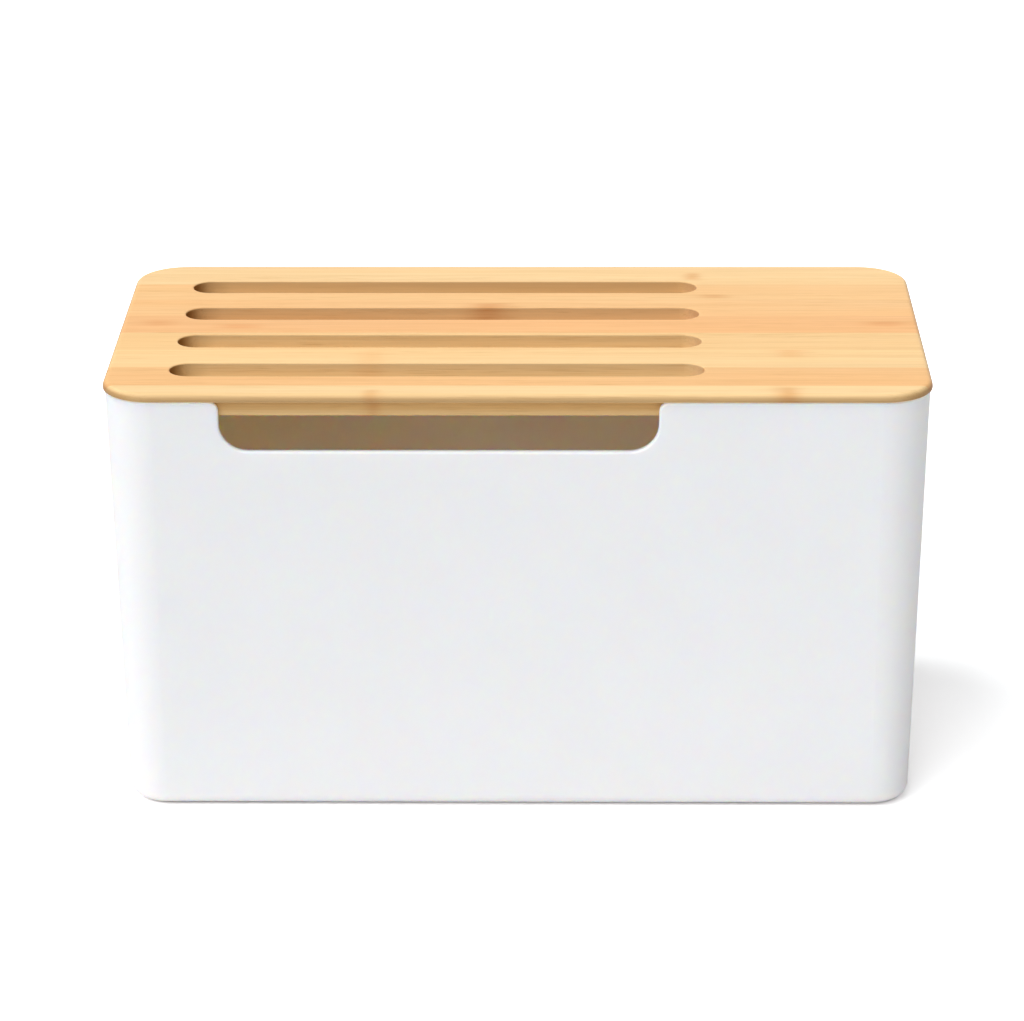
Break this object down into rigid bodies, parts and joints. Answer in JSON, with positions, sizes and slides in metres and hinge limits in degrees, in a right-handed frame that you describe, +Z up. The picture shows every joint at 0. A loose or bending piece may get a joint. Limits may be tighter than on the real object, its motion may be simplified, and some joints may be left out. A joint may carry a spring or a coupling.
{
  "type": "cable management box",
  "caption": "White box with drafted walls and a wide front cable notch, closed by a lift-off bamboo lid with parallel grooves that hold phones and tablets upright.",
  "frame": {"origin": "centre of the footprint, on the surface that the box stands on", "axes": "+X along the length towards the plain end of the lid, +Y from the notched front wall to the back, +Z up; the lid lifts off along +Z"},
  "size_m": [0.3, 0.1548, 0.1645],
  "materials": {
    "white_plastic": "satin",
    "bamboo": "satin",
    "foot_rubber": "matte"
  },
  "bodies": {
    "box": {"box_shell": "white_plastic", "foot_front_left": "foot_rubber", "foot_front_right": "foot_rubber", "foot_rear_left": "foot_rubber", "foot_rear_right": "foot_rubber"},
    "lid": {"lid_stave_1": "bamboo", "lid_stave_2": "bamboo", "lid_stave_3": "bamboo", "lid_stave_4": "bamboo", "lid_stave_5": "bamboo", "lid_stave_6": "bamboo", "lid_stave_7": "bamboo", "lid_stave_8": "bamboo", "lid_stave_9": "bamboo"}
  },
  "joints": [
    {"name": "lid_lift", "type": "slide", "parent": "box", "child": "lid", "axis": [0, 0, 1], "range_m": [0, 0.12]}
  ]
}
